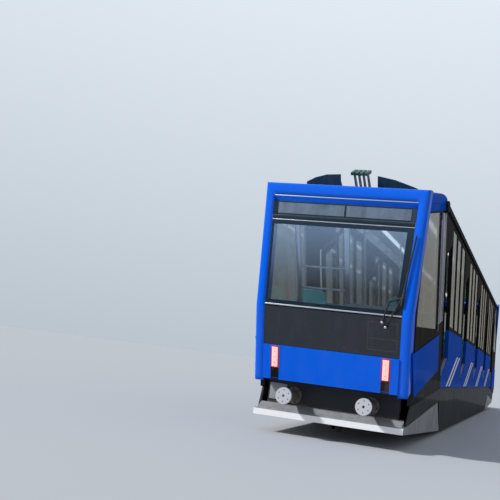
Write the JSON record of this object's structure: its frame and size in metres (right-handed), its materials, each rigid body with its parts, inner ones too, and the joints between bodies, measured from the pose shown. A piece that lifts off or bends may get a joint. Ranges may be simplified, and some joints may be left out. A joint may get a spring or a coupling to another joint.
{
  "type": "funicular car",
  "caption": "Funicular car with a stepped cabin, level sliding doors on both sides, raked glazed ends, sprung buffers and a two-axle bogie under each end.",
  "frame": {"origin": "centre of the car on the plane that its wheels stand on", "axes": "+X along the track towards the top of the hill, +Y to the right seen from uphill facing down, +Z square to the track; doors and windows stand plumb on a 26.5 degree slope"},
  "size_m": [19.2773, 2.14, 3.6882],
  "materials": {
    "blue_paint": "gloss",
    "black_frame": "gloss",
    "clear_glass": "gloss",
    "dark_glass": "gloss",
    "roof_grey": "matte",
    "skirt_grey": "satin",
    "apron_grey": "satin",
    "buffer_grey": "satin",
    "steel": "matte",
    "wheel_steel": "satin",
    "floor_cover": "matte",
    "seat_teal": "satin",
    "inner_grey": "matte",
    "pole_steel": "satin",
    "lamp": "gloss",
    "collector_dark": "matte",
    "wiper_black": "satin",
    "door_dark": "gloss"
  },
  "bodies": {
    "car": {"aprons": "apron_grey", "buffers": "buffer_grey", "cab_cladding": "blue_paint", "cab_glass": "clear_glass", "cab_hood": "blue_paint", "cab_screens": "inner_grey", "cab_walls": "black_frame", "cant_rails": "black_frame", "collector_shoes": "wiper_black", "current_collector": "collector_dark", "desks": "inner_grey", "door_runners": "black_frame", "eave_caps": "wiper_black", "eave_glass": "clear_glass", "end_arches": "blue_paint", "floor_stairs": "floor_cover", "grab_poles": "pole_steel", "lower_screens": "dark_glass", "lower_walls": "blue_paint", "nose_panels": "blue_paint", "roof_deck": "roof_grey", "roof_fairing": "roof_grey", "rope_anchor": "steel", "seats": "seat_teal", "skirts": "skirt_grey", "tail_lamps": "lamp", "top_strips": "clear_glass", "underframe": "steel", "window_frames": "black_frame", "window_glass": "clear_glass", "windscreens": "clear_glass", "wipers": "wiper_black"},
    "leaf_left_1": {"door_left_1": "door_dark", "door_glass_left_1": "dark_glass"},
    "leaf_left_2": {"door_left_2": "door_dark", "door_glass_left_2": "dark_glass"},
    "leaf_left_3": {"door_left_3": "door_dark", "door_glass_left_3": "dark_glass"},
    "leaf_left_4": {"door_left_4": "door_dark", "door_glass_left_4": "dark_glass"},
    "leaf_left_5": {"door_left_5": "door_dark", "door_glass_left_5": "dark_glass"},
    "leaf_right_1": {"door_right_1": "door_dark", "door_glass_right_1": "dark_glass"},
    "leaf_right_2": {"door_right_2": "door_dark", "door_glass_right_2": "dark_glass"},
    "leaf_right_3": {"door_right_3": "door_dark", "door_glass_right_3": "dark_glass"},
    "leaf_right_4": {"door_right_4": "door_dark", "door_glass_right_4": "dark_glass"},
    "leaf_right_5": {"door_right_5": "door_dark", "door_glass_right_5": "dark_glass"},
    "bogie_1": {"bogie_1": "steel"},
    "bogie_2": {"bogie_2": "steel"},
    "wheels_1": {"wheelset_1": "wheel_steel"},
    "wheels_2": {"wheelset_2": "wheel_steel"},
    "wheels_3": {"wheelset_3": "wheel_steel"},
    "wheels_4": {"wheelset_4": "wheel_steel"}
  },
  "joints": [
    {"name": "slide_left_1", "type": "slide", "parent": "car", "child": "leaf_left_1", "axis": [-0.8949, 0, 0.4462], "range_m": [0, 0.76]},
    {"name": "slide_left_2", "type": "slide", "parent": "car", "child": "leaf_left_2", "axis": [-0.8949, 0, 0.4462], "range_m": [0, 0.76]},
    {"name": "slide_left_3", "type": "slide", "parent": "car", "child": "leaf_left_3", "axis": [-0.8949, 0, 0.4462], "range_m": [0, 0.76]},
    {"name": "slide_left_4", "type": "slide", "parent": "car", "child": "leaf_left_4", "axis": [-0.8949, 0, 0.4462], "range_m": [0, 0.76]},
    {"name": "slide_left_5", "type": "slide", "parent": "car", "child": "leaf_left_5", "axis": [-0.8949, 0, 0.4462], "range_m": [0, 0.76]},
    {"name": "slide_right_1", "type": "slide", "parent": "car", "child": "leaf_right_1", "axis": [-0.8949, 0, 0.4462], "range_m": [0, 0.76]},
    {"name": "slide_right_2", "type": "slide", "parent": "car", "child": "leaf_right_2", "axis": [-0.8949, 0, 0.4462], "range_m": [0, 0.76]},
    {"name": "slide_right_3", "type": "slide", "parent": "car", "child": "leaf_right_3", "axis": [-0.8949, 0, 0.4462], "range_m": [0, 0.76]},
    {"name": "slide_right_4", "type": "slide", "parent": "car", "child": "leaf_right_4", "axis": [-0.8949, 0, 0.4462], "range_m": [0, 0.76]},
    {"name": "slide_right_5", "type": "slide", "parent": "car", "child": "leaf_right_5", "axis": [-0.8949, 0, 0.4462], "range_m": [0, 0.76]},
    {"name": "swivel_1", "type": "hinge", "parent": "car", "child": "bogie_1", "pos_m": [5.6, 0, 0.3], "axis": [0, 0, 1], "range_deg": [-4, 4]},
    {"name": "swivel_2", "type": "hinge", "parent": "car", "child": "bogie_2", "pos_m": [-5.6, 0, 0.3], "axis": [0, 0, 1], "range_deg": [-4, 4]},
    {"name": "spin_1", "type": "hinge", "parent": "bogie_1", "child": "wheels_1", "pos_m": [6.25, 0, 0.255], "axis": [0, 1, 0], "continuous": true},
    {"name": "spin_2", "type": "hinge", "parent": "bogie_1", "child": "wheels_2", "pos_m": [4.95, 0, 0.255], "axis": [0, 1, 0], "continuous": true},
    {"name": "spin_3", "type": "hinge", "parent": "bogie_2", "child": "wheels_3", "pos_m": [-4.95, 0, 0.255], "axis": [0, 1, 0], "continuous": true},
    {"name": "spin_4", "type": "hinge", "parent": "bogie_2", "child": "wheels_4", "pos_m": [-6.25, 0, 0.255], "axis": [0, 1, 0], "continuous": true}
  ]
}
